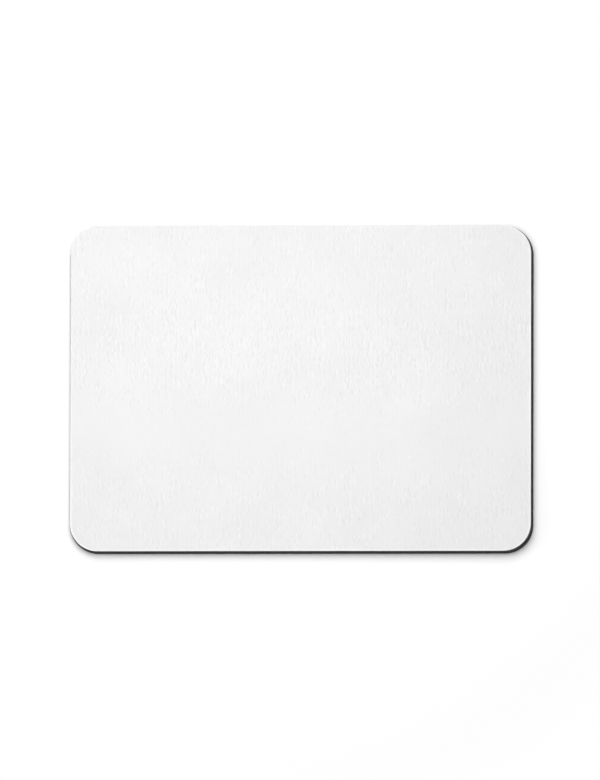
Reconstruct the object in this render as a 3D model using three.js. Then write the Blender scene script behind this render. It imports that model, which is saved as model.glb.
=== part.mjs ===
// A cloth-faced mouse pad: a laminate of knitted cloth, bond film and foam rubber, die-cut in one stroke.
// Millimetres, +Z up. The origin is the middle of the underside, +X runs along the long side, and the
// edge nearest the user is at -Y.
import * as THREE from 'three';

// Outline of the cloth face, as cut
const FACE_WIDTH = 250;
const FACE_DEPTH = 177;
const CORNER_RADIUS = 15;

// Layers, from the top down
const CLOTH_THICKNESS = 0.9;
const FILM_THICKNESS = 0.1;
const BASE_THICKNESS = 5;

// Edges: the cloth turns over in a small round shoulder, and the foam, squeezed by the die as it is cut,
// springs back into a hollow wall whose foot stands out past its top, least at its rounder corners.
const SHOULDER_RADIUS = 0.25;
const SHOULDER_LIMIT = 0.75; // the most of the cloth's thickness that the shoulder may take
const FOOT_FLARE = 1.2;
const FOOT_CORNER_EASE = 2; // how much larger the corner radius is at the foot than at the face

// Facets
const CORNER_STEPS = 14;
const SHOULDER_STEPS = 4;
const WALL_STEPS = 6;

// Heights where the layers meet
const FILM_SEAT = BASE_THICKNESS;
const CLOTH_SEAT = FILM_SEAT + FILM_THICKNESS;

// The face's rounded rectangle with its sides moved outward by an offset, as points in order round it
function outline(offset, radius) {
  const x = FACE_WIDTH / 2 + offset - radius;
  const y = FACE_DEPTH / 2 + offset - radius;
  const centres = [[x, y], [-x, y], [-x, -y], [x, -y]];
  const points = [];
  centres.forEach(([cx, cy], corner) => {
    const start = (corner * Math.PI) / 2;
    const arc = new THREE.EllipseCurve(cx, cy, radius, radius, start, start + Math.PI / 2);
    points.push(...arc.getPoints(CORNER_STEPS));
  });
  return points;
}

// A closed solid through rings of the outline, given as { offset, radius, z } from the lowest to the highest
function stackedRings(levels) {
  const rings = levels.map(({ offset, radius, z }) => {
    return outline(offset, radius).map((p) => new THREE.Vector3(p.x, p.y, z));
  });
  const count = rings[0].length;
  const top = (rings.length - 1) * count;
  const faces = [];
  for (let ring = 0; ring < top; ring += count) {
    for (let i = 0; i < count; i += 1) {
      const here = ring + i;
      const next = ring + ((i + 1) % count);
      faces.push(here, next, next + count);
      faces.push(here, next + count, here + count);
    }
  }
  for (const [a, b, c] of THREE.ShapeUtils.triangulateShape(outline(0, CORNER_RADIUS), [])) {
    faces.push(a, c, b);
    faces.push(top + a, top + b, top + c);
  }
  const geometry = new THREE.BufferGeometry().setFromPoints(rings.flat());
  geometry.setIndex(faces);
  geometry.computeVertexNormals();
  return geometry;
}

function namedMesh(name, geometry, seat, finish) {
  const mesh = new THREE.Mesh(geometry, new THREE.MeshStandardMaterial(finish));
  mesh.name = name;
  mesh.position.z = seat;
  return mesh;
}

// White brushed knit, square at its glued side and rounded over at the working face
function clothFace() {
  const shoulder = Math.min(SHOULDER_RADIUS, SHOULDER_LIMIT * CLOTH_THICKNESS);
  const levels = [{ offset: 0, radius: CORNER_RADIUS, z: 0 }];
  for (let step = 0; step <= SHOULDER_STEPS; step += 1) {
    const turn = (step / SHOULDER_STEPS) * (Math.PI / 2);
    const offset = shoulder * (Math.cos(turn) - 1);
    const z = CLOTH_THICKNESS + shoulder * (Math.sin(turn) - 1);
    levels.push({ offset, radius: CORNER_RADIUS + offset, z });
  }
  const finish = { color: 0xf0f0ef, roughness: 0.95, metalness: 0 };
  return namedMesh('cloth_face', stackedRings(levels), CLOTH_SEAT, finish);
}

// Hot-melt film that joins the cloth to the foam, cut flush with both
function bondFilm() {
  const levels = [0, FILM_THICKNESS].map((z) => ({ offset: 0, radius: CORNER_RADIUS, z }));
  const finish = { color: 0xc9c8c3, roughness: 0.5, metalness: 0 };
  return namedMesh('bond_film', stackedRings(levels), FILM_SEAT, finish);
}

// Black foam rubber: the wall's flare falls off with the square of the height, from the foot to the film
function rubberBase() {
  const levels = [];
  for (let step = 0; step <= WALL_STEPS; step += 1) {
    const height = step / WALL_STEPS;
    const share = (1 - height) ** 2;
    const radius = CORNER_RADIUS + FOOT_CORNER_EASE * share;
    levels.push({ offset: FOOT_FLARE * share, radius, z: BASE_THICKNESS * height });
  }
  const finish = { color: 0x1c1c1d, roughness: 0.85, metalness: 0 };
  return namedMesh('rubber_base', stackedRings(levels), 0, finish);
}

const mousePad = new THREE.Group();
mousePad.add(rubberBase(), bondFilm(), clothFace());

export default mousePad;
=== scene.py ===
"""Looks of a cloth-faced mouse pad: brushed white knit on black foam rubber, on a pale studio floor."""
import math

import bmesh
import bpy
import numpy as np
from mathutils import Matrix, Vector


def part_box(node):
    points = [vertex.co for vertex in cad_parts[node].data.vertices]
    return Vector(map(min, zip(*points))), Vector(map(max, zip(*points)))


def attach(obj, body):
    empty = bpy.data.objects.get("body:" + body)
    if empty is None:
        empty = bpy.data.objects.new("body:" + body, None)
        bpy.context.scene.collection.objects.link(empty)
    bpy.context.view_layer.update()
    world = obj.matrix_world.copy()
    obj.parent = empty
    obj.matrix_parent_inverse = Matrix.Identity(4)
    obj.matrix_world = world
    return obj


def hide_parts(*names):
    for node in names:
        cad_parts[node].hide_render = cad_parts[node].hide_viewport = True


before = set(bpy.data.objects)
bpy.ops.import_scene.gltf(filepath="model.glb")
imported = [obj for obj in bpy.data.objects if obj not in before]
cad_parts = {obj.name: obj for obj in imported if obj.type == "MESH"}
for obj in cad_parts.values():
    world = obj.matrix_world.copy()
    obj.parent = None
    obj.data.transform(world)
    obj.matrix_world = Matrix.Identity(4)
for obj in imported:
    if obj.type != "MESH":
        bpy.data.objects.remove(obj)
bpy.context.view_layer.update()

MM = 0.001

# Sizes from the frame
CLOTH_LOW, CLOTH_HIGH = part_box("cloth_face")
BASE_LOW, BASE_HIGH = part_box("rubber_base")
FACE_WIDTH = CLOTH_HIGH.x - CLOTH_LOW.x
FACE_DEPTH = CLOTH_HIGH.y - CLOTH_LOW.y
HALF_FACE = np.array((FACE_WIDTH, FACE_DEPTH)) / 2
FACE_TOP = CLOTH_HIGH.z
CLOTH_SEAT = CLOTH_LOW.z
BASE_TOP = BASE_HIGH.z
FOOT_FLARE = (BASE_HIGH.x - BASE_LOW.x - FACE_WIDTH) / 2

# Outline, cut by a die that wanders a little
CORNER_RADIUS = 15 * MM
CORNER_CENTRE = HALF_FACE - CORNER_RADIUS
CUT_WANDER = 0.03 * MM
WANDER_WAVES = (7, 19, 43, 97, 211)  # waves in one round of the outline

# Reliefs, which are rasters of soft oval marks
MARK_REACH = 2.2  # how far a mark is drawn, in its longer half size
RASTER_END = 1.001  # keeps a point on the far side inside the last cell

# Cloth mesh: a grid that is finer across the grain than along it, with a rounded shoulder round it
GRID_COLUMNS = 470
GRID_ROW_STEP = 1.04 * MM
CORNER_ROWS = 22
SHOULDER_RADIUS = 0.25 * MM
SHOULDER_RINGS = 4
CLOTH_SHARP_ANGLE = math.radians(50)
CLOTH_SEED = 11

# Painted highlight along the rim, lighter than the face: how far in it runs out, and how it grows from back
# left to front right
PAINTED_HIGHLIGHT_REACH = (0.55 * MM, 1.1 * MM)
PAINTED_HIGHLIGHT_WAY = (0.6, -1)
PAINTED_HIGHLIGHT_GROWTH = (-1.2, 0.6)

# Nap in the cloth's mesh: upright marks in loose columns, raised or sunk, stronger in some patches
WALE_PITCH = 2.4 * MM
COURSE_PITCH = 2.2 * MM
NAP_JITTER = (0.45 * MM, 0.8 * MM)
NAP_HALF_WIDTH = 0.55 * MM
NAP_WIDTHS = (0.8, 1.2)
NAP_HALF_LENGTH = 1.0 * MM
NAP_LENGTHS = (0.6, 1.4)
NAP_HEIGHT_LOG = (-0.3, 0.5)  # middle and spread of the logarithm of a mark's height
NAP_HEIGHT_LIMIT = 2.2
NAP_RAISED_SHARE = 0.6
NAP_PATCH = 9 * MM
NAP_PATCH_STRENGTH = (0.05, 1.6)
NAP_LEAN = (math.radians(0), math.radians(8))  # on the left, and on the far right
NAP_LEAN_REACH = (-0.2, 0.9)  # where the lean grows, in half widths of the face
NAP_LEAN_SPREAD = 0.06  # radians
NAP_GAIN = 0.9
NAP_DEPTH = 0.12 * MM
NAP_RASTER = (0.2 * MM, 0.3 * MM)
NAP_FADE = (0.3 * MM, 1.6 * MM)
NAP_EDGE_LEVEL = 0.5

# Strokes in the cloth's material: two layers, each with one upright stroke in every cell of a loose lattice
LONG_STROKES = {"pitch": (2.6 * MM, 3.7 * MM), "half_width": 0.32 * MM, "half_length": 1.2 * MM}
SHORT_STROKES = {"pitch": (2.6 * MM, 2.9 * MM), "half_width": 0.4 * MM, "half_length": 0.85 * MM}
SHORT_SHARE = 0.8
SHORT_OFFSET = 120 * SHORT_STROKES["pitch"][0]  # whole columns, so that the two layers share theirs
STROKE_JITTER = 0.5
STROKE_LENGTHS = (0.5, 1.5)
STROKE_BORDER = 0.12  # how far from its cell's border a stroke is whole
STROKE_HEIGHT = 0.9
# In the colour the flank paints one side of a stroke lighter and the other darker, as side light would
STROKE_FLANK_AND_SHADE = 2.8  # how much one side of a stroke may stand above the other
STROKE_LIMITS = (-0.55, 0.5)
STROKE_LEAN_REACH = (-0.1 * FACE_WIDTH, 0.4 * FACE_WIDTH)
COLUMN_WANDER = 5 * MM
COLUMN_WANDER_SIZE = 15 * MM

# Strength of the strokes: it differs from patch to patch, and is greatest in a band behind the middle
STROKE_PATCH = 8 * MM
PATCH_CONTRAST = (0.42, 0.6)
PATCH_STRENGTH = (0.3, 1.75)
BAND_PITCH = 104 * MM
BAND_FADE = (20 * MM, 88 * MM)
BAND_CONTRAST = 0.85
BAND_RISE = (-70 * MM, 20 * MM)
BAND_BASE = (0.85, 1.08)

# Knit, fibres and colours of the cloth
STITCH_PITCH = (0.5 * MM, 0.42 * MM)
STITCH_SLANT = 1.6
STITCH_LOOPS = 0.6
FIBRE_WIDTH = 0.2 * MM
FIBRE_STRETCH = 4
YARN_WIDTH = 0.3 * MM
MOTTLE_SIZE = 40 * MM
CLOTH_BUMP = 0.06 * MM
CLOTH_BUMP_SHARES = {"strokes": 1, "stitches": 0.35, "fuzz": 0.8, "cut_yarns": 6}
# Colour shares: partly tone that differs at random, partly painted shade, where sunk strokes, low nap and
# one flank of a stroke are darker and raised ones lighter
CLOTH_TONE_AND_SHADE_SHARES = {"strokes": 1, "nap": 0.2, "fuzz": 0.15, "mottle": 0.6}
CLOTH_TONE_BASE = 0.05
CLOTH_DARK = (0.811, 0.81, 0.811)
CLOTH_LIGHT = (0.901, 0.9, 0.901)
# painted highlight: the colour the rim is lightened to
CLOTH_PAINTED_HIGHLIGHT = (0.97, 0.97, 0.97)
CLOTH_ROUGHNESS = (0.86, 1)
CLOTH_GLOSS = {"Specular IOR Level": 0.2, "Sheen Weight": 0.12, "Sheen Roughness": 0.6}

# Bond film
FILM_CLOUD_SCALE = 900  # per metre
FILM_DARK = (0.5, 0.49, 0.46)
FILM_LIGHT = (0.66, 0.65, 0.62)
FILM_ROUGHNESS = (0.4, 0.65)

# Foam wall: a hollow wall with cut cells, over a rounded foot
WALL_STEP = 0.3 * MM
WALL_ROWS = 22
WALL_RASTER = 0.08 * MM
FOOT_ROUND = 0.25 * MM
CELLS_PER_MM2 = 1.0
CELL_HALF_SIZE = (0.22 * MM, 0.46 * MM)
CELL_STRETCH = (0.8, 1.5)
CELL_DEPTH = (0.05 * MM, 0.2 * MM)
FOAM_SHARP_ANGLE = math.radians(25)
FOAM_SEED = 23

# Foot of a leaning die's cut: shifted to the right and front, with corners rounder than the face's.
# The slope is the change of that roundness from the middle to the right, and from the middle to the back.
FOOT_DRIFT = (0.385 * MM, -0.3 * MM)
FOOT_CORNER_EASE = 1.25 * MM
FOOT_EASE_SLOPE = (-0.33 * MM, 0.43 * MM)

# Non-slip lattice under the foam: a cell's stops are its groove's floor and the two edges of its stud
LATTICE_PITCH = 4 * MM
LATTICE_GROOVE_HALF = 0.5 * MM
LATTICE_STOPS = (0, LATTICE_GROOVE_HALF, LATTICE_PITCH - LATTICE_GROOVE_HALF)
LATTICE_DEPTH = 0.3 * MM
LATTICE_MARGIN = 3 * MM
LATTICE_TURN = math.radians(45)
FILL_TURN = math.radians(20)

# Pores and colours of the foam: the pores are sunk in the bump and painted darker as their shade
PORES = ((0.55 * MM, 0.6), (0.22 * MM, 0.4))  # size, and share in the skin
PORE_OPEN = (0.3, 0.7)
PORE_EDGE = (0.1, 0.5)
PORE_BUMP = 0.12 * MM
BLOOM_SCALE = 320  # per metre
BLOOM_CONTRAST = (0.3, 0.7)
BLOOM_TONE = (0.5, 1)
# painted shade: the colour at the bottom of a pore, which is also the dark end of the bloom
FOAM_DARK_PORE_SHADE = (0.002, 0.002, 0.0022)
FOAM_LIGHT = (0.03, 0.03, 0.0305)
FOAM_ROUGHNESS = (0.72, 0.9)
FOAM_GLOSS = {"Specular IOR Level": 0.45}

# Camera: the face's edges in the 600 x 780 picture, and how far the view leans off straight down
PICTURE_WIDTH_PX = 600
PICTURE_HEIGHT_PX = 780
FACE_LEFT_PX = 70.15
FACE_RIGHT_PX = 530.85
FACE_TOP_PX = 225.9
FACE_BOTTOM_PX = 550.6
LEAN_RIGHT = math.radians(2.49)
LEAN_FRONT = math.radians(5.2)
SKEW_ON_SHORT_EDGES = 0.59  # share of the lean's skew that a roll moves on to the short edges
LENS_MM = 800
SENSOR_MM = 36

# Light: a dome and three soft boxes. Angles are in degrees, and azimuth runs anticlockwise from +X.
DOME_LEVEL = 0.207
LAMPS = {
    "key": {"azimuth": 108, "elevation": 58, "distance": 3.0, "size": (2.5, 2.5), "power": 62.2},
    "top": {"azimuth": 135, "elevation": 82.5, "distance": 0.42, "size": (0.3, 0.3), "power": 0.673},
    "side": {"azimuth": 180, "elevation": 30, "distance": 2.0, "size": (1.0, 0.6), "power": 5},
}
WHITE = (1, 1, 1, 1)

# Floor
FLOOR_SIZE = 40
FLOOR_COLOUR = (0.9, 0.9, 0.9)
FLOOR_SEEN_COLOUR = (1.07, 1.07, 1.07)
FLOOR_LIT_REACH = (0.165, 0.24)


class Relief:
    """Heights on a raster over a rectangle, built up from soft oval marks and read back anywhere."""

    def __init__(self, low, high, step):
        self.low = np.array(low)
        self.step = np.array(step)
        counts = np.ceil((np.array(high) - self.low) / self.step).astype(int) + 1
        self.heights = np.zeros(counts)

    def add_mark(self, centre, half_size, lean, height):
        """half_size is across and along; lean turns the long way from the second axis to the first."""
        reach = MARK_REACH * max(half_size)
        first = np.floor((centre - reach - self.low) / self.step).astype(int)
        first = np.maximum(first, 0)
        last = np.ceil((centre + reach - self.low) / self.step).astype(int) + 1
        last = np.minimum(last, self.heights.shape)
        if (first >= last).any():
            return
        x = (self.low[0] + self.step[0] * np.arange(first[0], last[0]) - centre[0])[:, None]
        y = (self.low[1] + self.step[1] * np.arange(first[1], last[1]) - centre[1])[None, :]
        across = x * math.cos(lean) - y * math.sin(lean)
        along = x * math.sin(lean) + y * math.cos(lean)
        mark = np.exp(-((across / half_size[0]) ** 2) - (along / half_size[1]) ** 4)
        self.heights[first[0]:last[0], first[1]:last[1]] += height * mark

    def at(self, x, y):
        """Heights at points, blended between the raster's corners."""
        columns, rows = self.heights.shape
        fx = np.clip((x - self.low[0]) / self.step[0], 0, columns - RASTER_END)
        fy = np.clip((y - self.low[1]) / self.step[1], 0, rows - RASTER_END)
        i = fx.astype(int)
        j = fy.astype(int)
        u = fx - i
        v = fy - j
        h = self.heights
        near = h[i, j] * (1 - v) + h[i, j + 1] * v
        far = h[i + 1, j] * (1 - v) + h[i + 1, j + 1] * v
        return near * (1 - u) + far * u


def smoothstep(low, high, values):
    """0 below low, 1 above high, and a smooth step between them."""
    t = np.clip((values - low) / (high - low), 0, 1)
    return t * t * (3 - 2 * t)


def measure_loop(loop):
    """How far round a closed loop each of its points lies, and the length of the loop."""
    lengths = np.linalg.norm(np.roll(loop, -1, axis=0) - loop, axis=1)
    return np.cumsum(lengths) - lengths, lengths.sum()


def edge_distance(x, y):
    """How far points lie inside the face's outline."""
    past_x = np.maximum(np.abs(x) - CORNER_CENTRE[0], 0)
    past_y = np.maximum(np.abs(y) - CORNER_CENTRE[1], 0)
    in_corner = (past_x > 0) & (past_y > 0)
    inside = np.minimum(HALF_FACE[0] - np.abs(x), HALF_FACE[1] - np.abs(y))
    return np.where(in_corner, CORNER_RADIUS - np.hypot(past_x, past_y), inside)


def cut_wander(rng, along, total):
    """How far a cut edge wanders inward: a smooth closed curve round the outline."""
    wander = np.zeros_like(along)
    for waves in WANDER_WAVES:
        phase = rng.uniform(0, math.tau)
        wander += np.sin(along / total * waves * math.tau + phase) / len(WANDER_WAVES)
    return CUT_WANDER * (0.5 + 0.5 * wander)


def add_object(name, data):
    """A new object in the scene."""
    made = bpy.data.objects.new(name, data)
    bpy.context.scene.collection.objects.link(made)
    return made


def add_mesh(name, points, faces, material):
    """A new mesh object in the scene, with its material."""
    mesh = bpy.data.meshes.new(name)
    mesh.from_pydata([tuple(p) for p in points], [], faces)
    mesh.validate()
    mesh.update()
    mesh.materials.append(material)
    return add_object(name, mesh)


# Materials

class Graph:
    """A material's nodes, with short ways to add the kinds that are used here."""

    def __init__(self, name):
        self.material = bpy.data.materials.new(name)
        self.material.use_nodes = True
        self.nodes = self.material.node_tree.nodes
        self.links = self.material.node_tree.links
        self.shader = self.nodes["Principled BSDF"]

    def feed(self, socket, value):
        """Link a socket, or set a plain number."""
        if isinstance(value, (int, float)):
            socket.default_value = value
        else:
            self.links.new(value, socket)

    def math(self, operation, first, second=None):
        node = self.nodes.new("ShaderNodeMath")
        node.operation = operation
        self.feed(node.inputs[0], first)
        if second is not None:
            self.feed(node.inputs[1], second)
        return node.outputs[0]

    def product(self, *values):
        result = values[0]
        for value in values[1:]:
            result = self.math("MULTIPLY", result, value)
        return result

    def total(self, *values):
        result = values[0]
        for value in values[1:]:
            result = self.math("ADD", result, value)
        return result

    def weighted(self, values, shares):
        """The sum of named values, each times its share."""
        return self.total(*(self.product(values[name], share) for name, share in shares.items()))

    def place(self):
        """The point on the piece, in metres."""
        return self.nodes.new("ShaderNodeTexCoord").outputs["Object"]

    def split(self, vector):
        node = self.nodes.new("ShaderNodeSeparateXYZ")
        self.links.new(vector, node.inputs[0])
        return node.outputs

    def join(self, x, y, z):
        node = self.nodes.new("ShaderNodeCombineXYZ")
        for socket, value in zip(node.inputs, (x, y, z)):
            self.feed(socket, value)
        return node.outputs[0]

    def noise(self, place, scale, detail):
        node = self.nodes.new("ShaderNodeTexNoise")
        node.inputs["Scale"].default_value = scale
        node.inputs["Detail"].default_value = detail
        self.links.new(place, node.inputs["Vector"])
        return node.outputs["Fac"]

    def voronoi(self, place, scale, dimensions="3D", feature="F1", jitter=1):
        node = self.nodes.new("ShaderNodeTexVoronoi")
        node.voronoi_dimensions = dimensions
        node.feature = feature
        node.inputs["Scale"].default_value = scale
        node.inputs["Randomness"].default_value = jitter
        self.links.new(place, node.inputs["Vector"])
        return node.outputs

    def attribute(self, name):
        node = self.nodes.new("ShaderNodeAttribute")
        node.attribute_name = name
        return node.outputs["Fac"]

    def span(self, value, low, high, out_low, out_high):
        """A number taken from one range to another, and held at its ends."""
        node = self.nodes.new("ShaderNodeMapRange")
        limits = {"From Min": low, "From Max": high, "To Min": out_low, "To Max": out_high}
        for socket, number in limits.items():
            node.inputs[socket].default_value = number
        self.links.new(value, node.inputs["Value"])
        return node.outputs["Result"]

    def blend(self, factor, first, second):
        """A colour between two, each a triple or a socket."""
        node = self.nodes.new("ShaderNodeMix")
        node.data_type = "RGBA"
        for socket, colour in (("A", first), ("B", second)):
            if isinstance(colour, tuple):
                node.inputs[socket].default_value = (*colour, 1)
            else:
                self.links.new(colour, node.inputs[socket])
        self.links.new(factor, node.inputs["Factor"])
        return node.outputs["Result"]

    def bump(self, height, distance):
        node = self.nodes.new("ShaderNodeBump")
        node.inputs["Distance"].default_value = distance
        self.links.new(height, node.inputs["Height"])
        self.links.new(node.outputs["Normal"], self.shader.inputs["Normal"])

    def surface(self, colour, roughness, gloss):
        """The finished material: gloss holds the plain numbers of the shader's other sockets."""
        self.links.new(colour, self.shader.inputs["Base Color"])
        self.links.new(roughness, self.shader.inputs["Roughness"])
        for socket, number in gloss.items():
            self.shader.inputs[socket].default_value = number
        return self.material


def swing(graph, chance, reach):
    """A random number from -reach to reach, mostly near 0."""
    even = graph.span(chance, 0, 1, -1, 1)
    return graph.product(even, graph.math("ABSOLUTE", even), reach)


def stroke_layer(graph, x, y, lean, pitch, half_width, half_length):
    """Soft upright strokes, one in each cell of a loose lattice: raised, sunk or higher on one side. In the
    colour the same numbers paint shade: sunk strokes and one flank darker, raised ones lighter.
    """
    u = graph.product(x, 1 / pitch[0])
    v = graph.product(y, 1 / pitch[1])
    lattice = graph.join(u, v, 0)
    cells = graph.voronoi(lattice, 1, "2D", jitter=STROKE_JITTER)
    border = graph.voronoi(lattice, 1, "2D", "DISTANCE_TO_EDGE", STROKE_JITTER)["Distance"]
    centre = graph.split(cells["Position"])
    chance = graph.split(cells["Color"])
    dx = graph.product(graph.math("SUBTRACT", u, centre[0]), pitch[0])
    dy = graph.product(graph.math("SUBTRACT", v, centre[1]), pitch[1])
    across = graph.math("DIVIDE", graph.total(dx, graph.product(dy, lean)), half_width)
    length = graph.span(chance[1], 0, 1, *(share * half_length for share in STROKE_LENGTHS))
    along = graph.math("DIVIDE", dy, length)
    fall = graph.total(graph.product(across, across), graph.product(along, along))
    soft = graph.math("EXPONENT", graph.product(fall, -1))
    shape = graph.product(soft, graph.span(border, 0, STROKE_BORDER, 0, 1))
    height = swing(graph, chance[0], STROKE_HEIGHT)
    # painted shade and highlight: in the colour the flank makes one side of the stroke lighter and the other
    # darker
    flank_and_shade = graph.product(across, swing(graph, chance[2], STROKE_FLANK_AND_SHADE))
    return graph.product(graph.total(height, flank_and_shade), shape)


def stroke_strength(graph, x, y):
    """Two factors for the strokes: one that differs from patch to patch, and one from front to back."""
    patches = graph.noise(graph.join(x, y, 0), 1 / STROKE_PATCH, detail=2)
    patches = graph.span(patches, *PATCH_CONTRAST, *PATCH_STRENGTH)
    sweep = graph.math("SINE", graph.product(y, math.tau / BAND_PITCH))
    fade = graph.span(graph.math("ABSOLUTE", y), *BAND_FADE, BAND_CONTRAST, 0)
    band = graph.total(graph.product(sweep, fade), graph.span(y, *BAND_RISE, *BAND_BASE))
    return patches, band


def grain_strokes(graph, x, y):
    """Long strokes with shorter ones between them, in columns that wander and lean on the right."""
    lean = graph.span(x, *STROKE_LEAN_REACH, *(math.tan(angle) for angle in NAP_LEAN))
    wander = graph.noise(graph.join(x, y, 0), 1 / COLUMN_WANDER_SIZE, detail=1)
    column_x = graph.total(x, graph.product(wander, COLUMN_WANDER))
    long_strokes = stroke_layer(graph, column_x, y, lean, **LONG_STROKES)
    short_strokes = stroke_layer(graph, graph.total(column_x, SHORT_OFFSET), y, lean, **SHORT_STROKES)
    strokes = graph.total(long_strokes, graph.product(short_strokes, SHORT_SHARE))
    strokes = graph.product(strokes, *stroke_strength(graph, column_x, y))
    return graph.span(strokes, *STROKE_LIMITS, *STROKE_LIMITS)


def knit_stitches(graph, x, y):
    """Fine V-shaped stitches in columns, about -1.6 to 1.6."""
    leg = graph.math("PINGPONG", graph.product(x, 1 / STITCH_PITCH[0]), 0.5)
    chevron = graph.total(graph.product(y, 1 / STITCH_PITCH[1]), graph.product(leg, STITCH_SLANT))
    loops = graph.math("SINE", graph.product(chevron, math.tau))
    columns = graph.math("SINE", graph.product(leg, math.tau))
    return graph.total(graph.product(loops, STITCH_LOOPS), columns)


def cloth_material():
    """White polyester knit: fine stitches under a brushed, uneven nap, whose tone carries painted shade, and
    a painted highlight along the rim, strongest at the front right.
    """
    graph = Graph("face_cloth")
    place = graph.place()
    x, y, z = graph.split(place)
    upright = graph.join(x, graph.product(y, 1 / FIBRE_STRETCH), z)
    fuzz = graph.noise(upright, 1 / FIBRE_WIDTH, detail=3)
    down_the_side = graph.join(x, y, graph.product(z, 1 / FIBRE_STRETCH))
    yarn_ends = graph.noise(down_the_side, 1 / YARN_WIDTH, detail=2)
    parts = {
        "strokes": grain_strokes(graph, x, y),
        "stitches": knit_stitches(graph, x, y),
        "fuzz": fuzz,
        "cut_yarns": graph.product(yarn_ends, graph.attribute("cut")),
        "nap": graph.attribute("nap"),
        "mottle": graph.noise(place, 1 / MOTTLE_SIZE, detail=1),
    }
    graph.bump(graph.weighted(parts, CLOTH_BUMP_SHARES), CLOTH_BUMP)
    # the tone is partly random and partly painted shade of the strokes' and nap's relief
    tone_and_shade = graph.total(graph.weighted(parts, CLOTH_TONE_AND_SHADE_SHARES), CLOTH_TONE_BASE)
    colour = graph.blend(tone_and_shade, CLOTH_DARK, CLOTH_LIGHT)
    # painted highlight: the rim attribute lightens the rim, most towards the front right
    colour = graph.blend(graph.attribute("rim"), colour, CLOTH_PAINTED_HIGHLIGHT)
    return graph.surface(colour, graph.span(fuzz, 0, 1, *CLOTH_ROUGHNESS), CLOTH_GLOSS)


def foam_material():
    """Black foam rubber: matte, with open pores of two sizes between the cut cells, painted darker as their
    shade, and a paler bloom.
    """
    graph = Graph("foam_rubber")
    place = graph.place()
    walls = []
    for size, share in PORES:
        pores = graph.voronoi(place, 1 / size)
        opening = graph.span(graph.split(pores["Color"])[0], *PORE_OPEN, 0, 1)
        pit = graph.span(pores["Distance"], *PORE_EDGE, 1, 0)
        wall = graph.math("SUBTRACT", 1, graph.product(pit, opening))
        walls.append(graph.product(wall, share))
    skin = graph.total(*walls)
    graph.bump(skin, PORE_BUMP)
    bloom = graph.noise(place, BLOOM_SCALE, detail=4)
    tone_and_shade = graph.product(skin, graph.span(bloom, *BLOOM_CONTRAST, *BLOOM_TONE))
    # painted shade: the pits of the pores take the darkest colour
    colour = graph.blend(tone_and_shade, FOAM_DARK_PORE_SHADE, FOAM_LIGHT)
    return graph.surface(colour, graph.span(bloom, *BLOOM_CONTRAST, *FOAM_ROUGHNESS), FOAM_GLOSS)


def film_material():
    """Milky hot-melt film, clouded where it has soaked into the knit."""
    graph = Graph("bond_film")
    cloud = graph.noise(graph.place(), FILM_CLOUD_SCALE, detail=3)
    colour = graph.blend(cloud, FILM_DARK, FILM_LIGHT)
    return graph.surface(colour, graph.span(cloud, 0, 1, *FILM_ROUGHNESS), {})


# Cloth face

def cloth_rows():
    """The grid's rows from front to back, as (y, corner angle): the angle is 0 between the corners."""
    straight = FACE_DEPTH / 2 - CORNER_RADIUS
    radius = CORNER_RADIUS - SHOULDER_RADIUS
    turns = [math.pi / 2 * k / CORNER_ROWS for k in range(1, CORNER_ROWS + 1)]
    count = round(2 * straight / GRID_ROW_STEP)
    middle = [(-straight + 2 * straight * k / count, 0.0) for k in range(count + 1)]
    back = [(straight + radius * math.sin(t), t) for t in turns]
    front = [(-y, -t) for y, t in reversed(back)]
    return front + middle + back


def face_grid():
    """Points over the flat face, as x and y in rows from front to back, and each row's corner angle."""
    row_y, turn = np.array(cloth_rows()).T
    half_row = CORNER_CENTRE[0] + (CORNER_RADIUS - SHOULDER_RADIUS) * np.cos(turn)
    x = half_row[:, None] * np.linspace(-1, 1, GRID_COLUMNS + 1)
    y = np.repeat(row_y[:, None], GRID_COLUMNS + 1, axis=1)
    return x, y, turn


def nap_relief(rng):
    """Upright marks in loose columns, which lean a little on the right half of the face."""
    relief = Relief(-HALF_FACE, HALF_FACE, NAP_RASTER)
    patches = Relief(-HALF_FACE, HALF_FACE, (NAP_PATCH, NAP_PATCH))
    patches.heights = rng.uniform(*NAP_PATCH_STRENGTH, patches.heights.shape)
    for wale in range(round(FACE_WIDTH / WALE_PITCH)):
        stagger = rng.uniform(0, 1)
        for course in range(round(FACE_DEPTH / COURSE_PITCH)):
            grid = np.array(((wale + 0.5) * WALE_PITCH, (course + stagger) * COURSE_PITCH))
            centre = grid - HALF_FACE + rng.normal(0, NAP_JITTER)
            turn = float(smoothstep(*NAP_LEAN_REACH, centre[0] / HALF_FACE[0]))
            lean = NAP_LEAN[0] + (NAP_LEAN[1] - NAP_LEAN[0]) * turn + rng.normal(0, NAP_LEAN_SPREAD)
            width = NAP_HALF_WIDTH * rng.uniform(*NAP_WIDTHS)
            length = NAP_HALF_LENGTH * rng.uniform(*NAP_LENGTHS)
            height = min(rng.lognormal(*NAP_HEIGHT_LOG), NAP_HEIGHT_LIMIT) * float(patches.at(*centre))
            if rng.uniform() > NAP_RAISED_SHARE:
                height = -height
            relief.add_mark(centre, (width, length), -lean, height)
    return relief


def nap_levels(rng, x, y, inside):
    """The nap's level over the face from 0 to 1, even along the edge."""
    nap = 0.5 + 0.5 * np.tanh(NAP_GAIN * nap_relief(rng).at(x, y))
    fade = smoothstep(NAP_FADE[0] + SHOULDER_RADIUS, NAP_FADE[1] + SHOULDER_RADIUS, inside)
    return NAP_EDGE_LEVEL + (nap - NAP_EDGE_LEVEL) * fade


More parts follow.
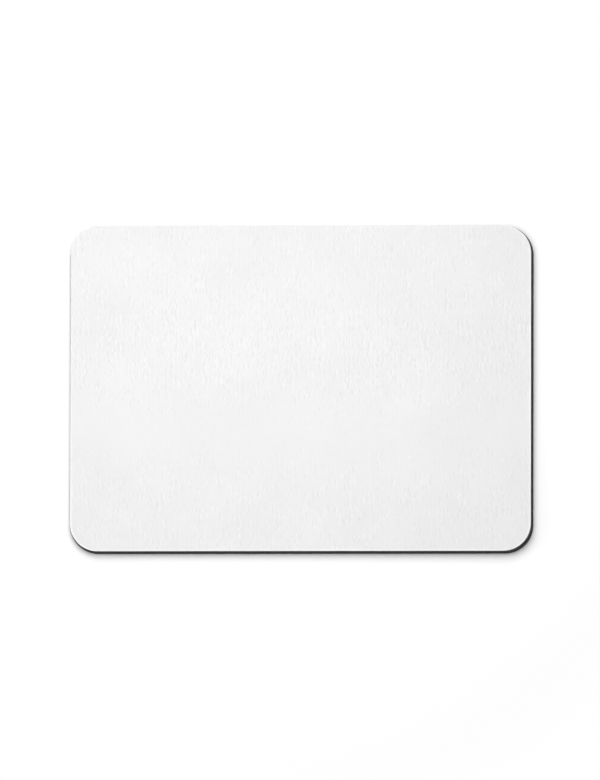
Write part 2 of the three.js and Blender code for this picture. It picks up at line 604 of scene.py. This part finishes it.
def painted_highlight_levels(x, y, inside):
    """How strong the painted highlight along the rim is, from 0 to 1: most at the front right."""
    towards = PAINTED_HIGHLIGHT_WAY[0] * x / HALF_FACE[0] + PAINTED_HIGHLIGHT_WAY[1] * y / HALF_FACE[1]
    return (1 - smoothstep(*PAINTED_HIGHLIGHT_REACH, inside)) * smoothstep(*PAINTED_HIGHLIGHT_GROWTH, towards)


def grid_rim(index, turn):
    """The grid's border in order round it, as vertex numbers and outward directions."""
    rim = np.concatenate((index[0], index[1:-1, -1], index[-1, ::-1], index[-2:0:-1, 0]))
    outward = np.zeros((*index.shape, 2))
    outward[:, -1] = np.stack((np.cos(turn), np.sin(turn)), axis=1)
    outward[:, 0] = outward[:, -1] * (-1, 1)
    outward[0] = (0, -1)
    outward[-1] = (0, 1)
    return rim, outward.reshape(-1, 2)[rim]


def shoulder_levels():
    """Rings from the face's rim over the shoulder down to the film, as (way out, height)."""
    rim_height = FACE_TOP - NAP_DEPTH * (1 - NAP_EDGE_LEVEL)
    levels = []
    for k in range(1, SHOULDER_RINGS + 1):
        angle = math.pi / 2 * k / SHOULDER_RINGS
        drop = SHOULDER_RADIUS * (1 - math.cos(angle))
        levels.append((SHOULDER_RADIUS * math.sin(angle), rim_height - drop))
    levels.append((SHOULDER_RADIUS, CLOTH_SEAT))
    return levels


def shoulder_rings(rng, edge, outward, levels):
    """The rings' points, drawn in by the wander of the cut, all of it at the side."""
    wander = cut_wander(rng, *measure_loop(edge[:, :2]))
    rings = []
    for way_out, height in levels:
        ring = edge.copy()
        ring[:, :2] += outward * (way_out - wander * (way_out / SHOULDER_RADIUS))[:, None]
        ring[:, 2] = height
        rings.append(ring)
    return rings


def cloth_faces(index, rings):
    """Squares over the grid and between the rings, and one face for the back, as vertex numbers."""
    squares = np.stack((index[:-1, :-1], index[:-1, 1:], index[1:, 1:], index[1:, :-1]), axis=-1)
    faces = squares.reshape(-1, 4).tolist()
    for upper, lower in zip(rings, rings[1:]):
        faces += np.stack((lower, np.roll(lower, -1), np.roll(upper, -1), upper), axis=1).tolist()
    faces.append(rings[-1][::-1].tolist())
    return faces


def set_levels(mesh, name, on_face, on_rings):
    """A number for each vertex, first on the face's grid and then on the rings round it."""
    attribute = mesh.attributes.new(name, "FLOAT", "POINT")
    attribute.data.foreach_set("value", np.concatenate((on_face, on_rings)))


def make_cloth(material):
    """The knit: a napped face over a rounded shoulder, a cut side and a flat, glued back."""
    rng = np.random.default_rng(CLOTH_SEED)
    x, y, turn = face_grid()
    inside = edge_distance(x, y)
    nap = nap_levels(rng, x, y, inside)
    painted_highlight = painted_highlight_levels(x, y, inside)
    points = np.stack((x, y, FACE_TOP - NAP_DEPTH * (1 - nap)), axis=-1).reshape(-1, 3)
    index = np.arange(len(points)).reshape(x.shape)
    rim, outward = grid_rim(index, turn)
    levels = shoulder_levels()
    layers = [points, *shoulder_rings(rng, points[rim], outward, levels)]
    rings = [rim]
    for k in range(len(levels)):
        rings.append(len(points) + k * len(rim) + np.arange(len(rim)))

    piece = add_mesh("cloth_face_knit", np.concatenate(layers), cloth_faces(index, rings), material)
    mesh = piece.data
    mesh.shade_smooth()
    mesh.set_sharp_from_angle(angle=CLOTH_SHARP_ANGLE)
    cut = np.repeat([way_out / SHOULDER_RADIUS for way_out, _ in levels], len(rim)) ** 2
    set_levels(mesh, "cut", np.zeros(len(points)), cut)
    # the rim attribute carries the painted highlight
    for name, level in (("nap", nap.ravel()), ("rim", painted_highlight.ravel())):
        set_levels(mesh, name, level, np.tile(level[rim], len(levels)))
    return piece


# Foam base

def heading(angle):
    """The direction at an angle from the x axis."""
    return np.array((math.cos(angle), math.sin(angle)))


def outline_path(step):
    """Points round the face's outline with their outward directions, anticlockwise from the right side."""
    points = []
    normals = []
    arc_steps = round(CORNER_RADIUS * math.pi / 2 / step)
    for k, side in enumerate(((1, 1), (-1, 1), (-1, -1), (1, -1))):
        centre = CORNER_CENTRE * side
        start = k * math.pi / 2
        for a in range(arc_steps):
            direction = heading(start + math.pi / 2 * a / arc_steps)
            points.append(centre + CORNER_RADIUS * direction)
            normals.append(direction)
        direction = heading(start + math.pi / 2)
        here = centre + CORNER_RADIUS * direction
        ahead = np.array((-direction[1], direction[0]))
        run = 2 * CORNER_CENTRE[k % 2]
        steps = round(run / step)
        for a in range(steps):
            points.append(here + ahead * run * a / steps)
            normals.append(direction)
    return np.array(points), np.array(normals)


def cut_cells(rng, length):
    """The foam's cut cells on the unrolled wall, as dents."""
    relief = Relief((0, 0), (length, BASE_TOP), (WALL_RASTER, WALL_RASTER))
    for _ in range(round(CELLS_PER_MM2 * length * BASE_TOP / MM ** 2)):
        centre = rng.uniform((0, 0), (length, BASE_TOP))
        size = rng.uniform(*CELL_HALF_SIZE)
        half = (size, size * rng.uniform(*CELL_STRETCH))
        relief.add_mark(centre, half, rng.uniform(0, math.pi), rng.uniform(*CELL_DEPTH))
    return relief


def wall_rings(rng):
    """The wall's points in rings from the underside up. The foot's flare falls off as a parabola."""
    path, outward = outline_path(WALL_STEP)
    along, total = measure_loop(path)
    cells = cut_cells(rng, total)
    wander = cut_wander(rng, along, total)
    spread = np.clip(path / CORNER_CENTRE, -1, 1)
    drift = np.array(FOOT_DRIFT)
    flare = FOOT_FLARE - np.abs(drift).max()
    ease = FOOT_CORNER_EASE + spread @ np.array(FOOT_EASE_SLOPE)
    wall_height = BASE_TOP - FOOT_ROUND
    rings = []
    for z in [0.0] + [FOOT_ROUND + wall_height * k / WALL_ROWS for k in range(WALL_ROWS + 1)]:
        share = ((BASE_TOP - max(z, FOOT_ROUND)) / wall_height) ** 2
        radius = (CORNER_RADIUS + ease * share)[:, None]
        inward = wander
        if z == 0:
            inward = wander + FOOT_ROUND
        elif FOOT_ROUND < z < BASE_TOP:
            inward = wander + cells.at(along, np.full_like(along, z))
        places = spread * (HALF_FACE + flare * share - radius) + outward * (radius - inward[:, None])
        places += drift * share
        rings.append([(*place, z) for place in places])
    return rings


def add_lattice(bm):
    """The underside's diamond lattice of V grooves: whole cells only, with a flat border left round them."""
    cells = math.ceil(np.hypot(*HALF_FACE) / LATTICE_PITCH)
    lines = [(c * LATTICE_PITCH + s, s == 0) for c in range(-cells, cells + 1) for s in LATTICE_STOPS]
    right = heading(LATTICE_TURN)
    ahead = np.array((-right[1], right[0]))
    stride = len(LATTICE_STOPS)
    verts = {}

    def place(i, j):
        return right * lines[i][0] + ahead * lines[j][0]

    def vert(i, j):
        if (i, j) not in verts:
            in_groove = lines[i][1] or lines[j][1]
            verts[i, j] = bm.verts.new((*place(i, j), LATTICE_DEPTH if in_groove else 0))
        return verts[i, j]

    for i in range(0, len(lines) - stride, stride):
        for j in range(0, len(lines) - stride, stride):
            corners = np.array([place(a, b) for a in (i, i + stride) for b in (j, j + stride)])
            if edge_distance(*corners.T).min() < LATTICE_MARGIN:
                continue
            for a in range(i, i + stride):
                for b in range(j, j + stride):
                    bm.faces.new((vert(a, b), vert(a, b + 1), vert(a + 1, b + 1), vert(a + 1, b)))
    border = [edge for edge in bm.edges if edge.is_boundary]
    for edge in border:
        for corner in edge.verts:
            corner.co.z = 0
    return border


def add_wall(bm, rings):
    """Skin the rings, cap the top and give the edges of the foot."""
    rings = [[bm.verts.new(point) for point in ring] for ring in rings]
    for low, up in zip(rings, rings[1:]):
        for k, here in enumerate(low):
            nxt = (k + 1) % len(low)
            bm.faces.new((here, low[nxt], up[nxt], up[k]))
    bm.faces.new(rings[-1])
    foot = rings[0]
    return [bm.edges.get((a, b)) for a, b in zip(foot, foot[1:] + foot[:1])]


def fill_underside(bm, edges):
    """Close the flat border. The fill can fold over along an axis, so it is done on a turned mesh."""
    turn = Matrix.Rotation(FILL_TURN, 3, "Z")
    bmesh.ops.rotate(bm, matrix=turn, verts=bm.verts)
    bmesh.ops.triangle_fill(bm, use_beauty=True, edges=edges)
    bmesh.ops.rotate(bm, matrix=turn.inverted(), verts=bm.verts)


def make_base(material):
    """The foam: a cut wall under the film, and a lattice in the underside."""
    rng = np.random.default_rng(FOAM_SEED)
    bm = bmesh.new()
    lattice_border = add_lattice(bm)
    foot_edges = add_wall(bm, wall_rings(rng))
    fill_underside(bm, lattice_border + foot_edges)
    bmesh.ops.recalc_face_normals(bm, faces=bm.faces)
    mesh = bpy.data.meshes.new("rubber_base_foam")
    bm.to_mesh(mesh)
    bm.free()
    mesh.materials.append(material)
    mesh.shade_smooth()
    mesh.set_sharp_from_angle(angle=FOAM_SHARP_ANGLE)
    return add_object("rubber_base_foam", mesh)


# Stage

def seen_white(nodes, links):
    """1 for the rays that show the background: those of the camera, of gloss and through glass."""
    path = nodes.new("ShaderNodeLightPath")
    seen = path.outputs["Is Camera Ray"]
    for name in ("Is Glossy Ray", "Is Transmission Ray"):
        either = nodes.new("ShaderNodeMath")
        either.operation = "MAXIMUM"
        links.new(seen, either.inputs[0])
        links.new(path.outputs[name], either.inputs[1])
        seen = either.outputs[0]
    return seen


def mix_shaders(nodes, links, factor, first, second, output):
    """Send a mix of two shaders to an output."""
    mix = nodes.new("ShaderNodeMixShader")
    links.new(factor, mix.inputs[0])
    links.new(first.outputs[0], mix.inputs[1])
    links.new(second.outputs[0], mix.inputs[2])
    links.new(mix.outputs[0], nodes[output].inputs["Surface"])


def make_floor():
    """A pale floor that shows the pad's shadow, and runs out into plain white away from it."""
    half = FLOOR_SIZE / 2
    corners = [(-half, -half, 0), (half, -half, 0), (half, half, 0), (-half, half, 0)]
    graph = Graph("floor")
    graph.nodes.remove(graph.shader)
    lit = graph.nodes.new("ShaderNodeBsdfDiffuse")
    white = graph.nodes.new("ShaderNodeEmission")
    seen = seen_white(graph.nodes, graph.links)
    graph.links.new(graph.blend(seen, FLOOR_COLOUR, FLOOR_SEEN_COLOUR), lit.inputs["Color"])
    x, y, _ = graph.split(graph.place())
    reach = graph.math("SQRT", graph.total(graph.product(x, x), graph.product(y, y)))
    away = graph.product(graph.span(reach, *FLOOR_LIT_REACH, 0, 1), seen)
    mix_shaders(graph.nodes, graph.links, away, lit, white, "Material Output")
    add_mesh("floor", corners, [(0, 1, 2, 3)], graph.material)


def make_world():
    """A dim, even dome that lights the pad, seen as plain white."""
    world = bpy.data.worlds.new("studio")
    bpy.context.scene.world = world
    world.use_nodes = True
    nodes = world.node_tree.nodes
    links = world.node_tree.links
    dome = nodes["Background"]
    dome.inputs["Color"].default_value = WHITE
    dome.inputs["Strength"].default_value = DOME_LEVEL
    white = nodes.new("ShaderNodeBackground")
    white.inputs["Color"].default_value = WHITE
    mix_shaders(nodes, links, seen_white(nodes, links), dome, white, "World Output")


def make_lamp(name, azimuth, elevation, distance, size, power):
    """A soft box aimed at the pad."""
    lamp = bpy.data.lights.new(name, "AREA")
    lamp.shape = "RECTANGLE"
    lamp.size, lamp.size_y = size
    lamp.energy = power
    flat_x, flat_y = heading(math.radians(azimuth)) * math.cos(math.radians(elevation))
    way = Vector((flat_x, flat_y, math.sin(math.radians(elevation))))
    lamp_object = add_object(name, lamp)
    lamp_object.location = way * distance
    lamp_object.rotation_euler = (-way).to_track_quat("-Z", "Y").to_euler()


def camera_axes():
    """Right, up and back: the view leans to the right and front, so that those two walls show."""
    back = Vector((math.tan(LEAN_RIGHT), -math.tan(LEAN_FRONT), 1)).normalized()
    up = (Vector((0, 1, 0)) - back * back.y).normalized()
    right = up.cross(back)
    skew = math.atan2(up.x, right.x)
    roll = Matrix.Rotation(SKEW_ON_SHORT_EDGES * skew, 3, back)
    return roll @ right, roll @ up, back


def make_camera():
    """Looks down on the face from far away, with the face's edges where the picture has them."""
    right, up, back = camera_axes()
    metres_per_px = FACE_WIDTH * math.cos(LEAN_RIGHT) / (FACE_RIGHT_PX - FACE_LEFT_PX)
    off_x = ((FACE_LEFT_PX + FACE_RIGHT_PX) / 2 - PICTURE_WIDTH_PX / 2) * metres_per_px
    off_y = (PICTURE_HEIGHT_PX / 2 - (FACE_TOP_PX + FACE_BOTTOM_PX) / 2) * metres_per_px
    target = Vector((0, 0, FACE_TOP)) - right * off_x - up * off_y
    distance = LENS_MM / SENSOR_MM * PICTURE_HEIGHT_PX * metres_per_px
    lens = bpy.data.cameras.new("camera")
    lens.lens = LENS_MM
    lens.sensor_width = SENSOR_MM
    lens.clip_end = 2 * distance
    camera = add_object("camera", lens)
    axes = Matrix((right, up, back)).transposed().to_4x4()
    camera.matrix_world = Matrix.Translation(target + back * distance) @ axes
    bpy.context.scene.camera = camera


bpy.context.scene.view_settings.view_transform = "Standard"
make_camera()
make_world()
make_floor()
for lamp_name, settings in LAMPS.items():
    make_lamp(lamp_name, **settings)

base = make_base(foam_material())
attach(base, "root")
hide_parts("rubber_base")

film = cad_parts["bond_film"]
film.data.materials.clear()
film.data.materials.append(film_material())

cloth = make_cloth(cloth_material())
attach(cloth, "root")
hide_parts("cloth_face")
